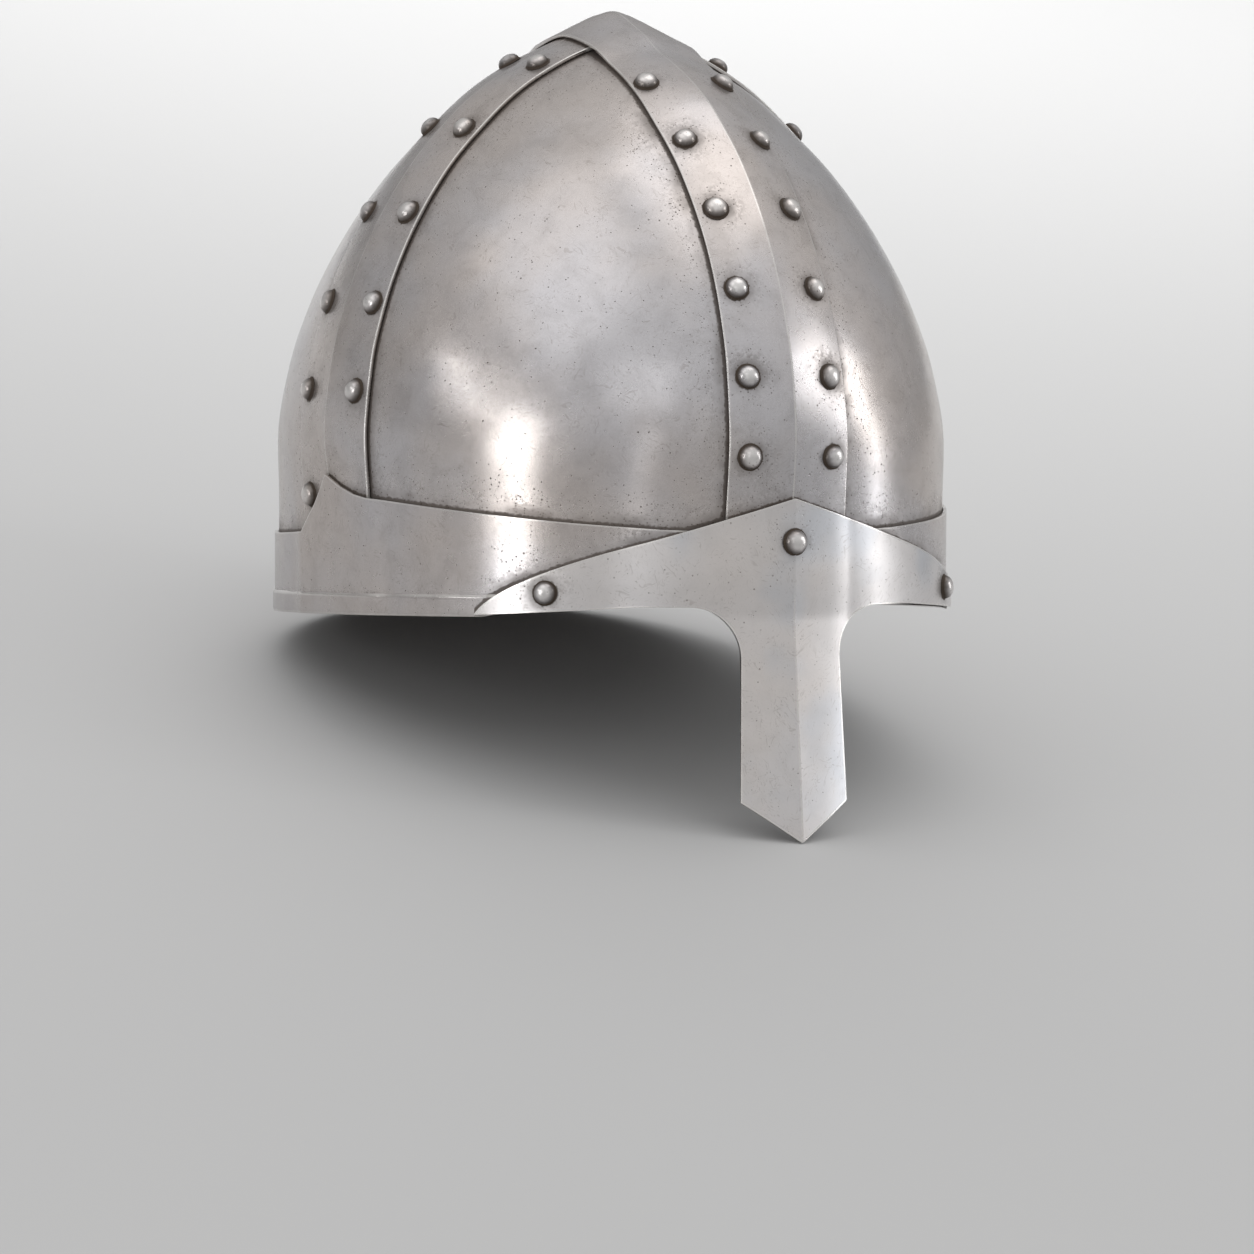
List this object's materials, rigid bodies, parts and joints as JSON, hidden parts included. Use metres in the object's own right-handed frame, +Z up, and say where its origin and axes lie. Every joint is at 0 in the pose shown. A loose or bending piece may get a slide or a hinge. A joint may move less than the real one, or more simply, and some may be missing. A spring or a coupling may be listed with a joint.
{
  "type": "nasal helmet",
  "caption": "Pointed helmet of skull plates riveted under ridged bands, with a hemmed brow band, a brow shield and a nose guard; a dressing-up or display piece worn on the head.",
  "frame": {"origin": "centre of the overall box, at the surface it rests on", "axes": "+Z up from the surface, +X towards the wearer's left, -Y towards the face side; the helmet's own axis leans back by 15.3 degrees because it rests on the nose guard's tip and the back of the rim"},
  "size_m": [0.1998, 0.2602, 0.2096],
  "materials": {
    "skull_plate": "satin worn steel, fine scratches",
    "band": "satin worn steel, grime along the edges",
    "brow": "satin worn steel, bright top edge and folded hem",
    "nasal": "satin worn steel with faint cool patches",
    "rivet": "domed heads rubbed bright, dark round the base"
  },
  "bodies": {
    "root": {"plate_front_right": "skull_plate", "plate_rear_right": "skull_plate", "plate_front_left": "skull_plate", "plate_rear_left": "skull_plate", "band_fore_aft": "band", "band_side_right": "band", "band_side_left": "band", "brow_band": "brow", "nasal_plate": "nasal", "rivet_front_right_1": "rivet", "rivet_front_right_2": "rivet", "rivet_front_right_3": "rivet", "rivet_front_right_4": "rivet", "rivet_front_right_5": "rivet", "rivet_front_right_6": "rivet", "rivet_front_left_1": "rivet", "rivet_front_left_2": "rivet", "rivet_front_left_3": "rivet", "rivet_front_left_4": "rivet", "rivet_front_left_5": "rivet", "rivet_front_left_6": "rivet", "rivet_back_right_1": "rivet", "rivet_back_right_2": "rivet", "rivet_back_right_3": "rivet", "rivet_back_right_4": "rivet", "rivet_back_right_5": "rivet", "rivet_back_right_6": "rivet", "rivet_back_left_1": "rivet", "rivet_back_left_2": "rivet", "rivet_back_left_3": "rivet", "rivet_back_left_4": "rivet", "rivet_back_left_5": "rivet", "rivet_back_left_6": "rivet", "rivet_side_right_front_2": "rivet", "rivet_side_right_front_3": "rivet", "rivet_side_right_front_4": "rivet", "rivet_side_right_front_5": "rivet", "rivet_side_right_front_6": "rivet", "rivet_side_right_rear_1": "rivet", "rivet_side_right_rear_2": "rivet", "rivet_side_right_rear_3": "rivet", "rivet_side_right_rear_4": "rivet", "rivet_side_right_rear_5": "rivet", "rivet_side_right_rear_6": "rivet", "rivet_side_left_front_2": "rivet", "rivet_side_left_front_3": "rivet", "rivet_side_left_front_4": "rivet", "rivet_side_left_front_5": "rivet", "rivet_side_left_front_6": "rivet", "rivet_side_left_rear_1": "rivet", "rivet_side_left_rear_2": "rivet", "rivet_side_left_rear_3": "rivet", "rivet_side_left_rear_4": "rivet", "rivet_side_left_rear_5": "rivet", "rivet_side_left_rear_6": "rivet", "rivet_nasal_centre": "rivet", "rivet_nasal_right": "rivet", "rivet_nasal_left": "rivet"}
  },
  "joints": []
}
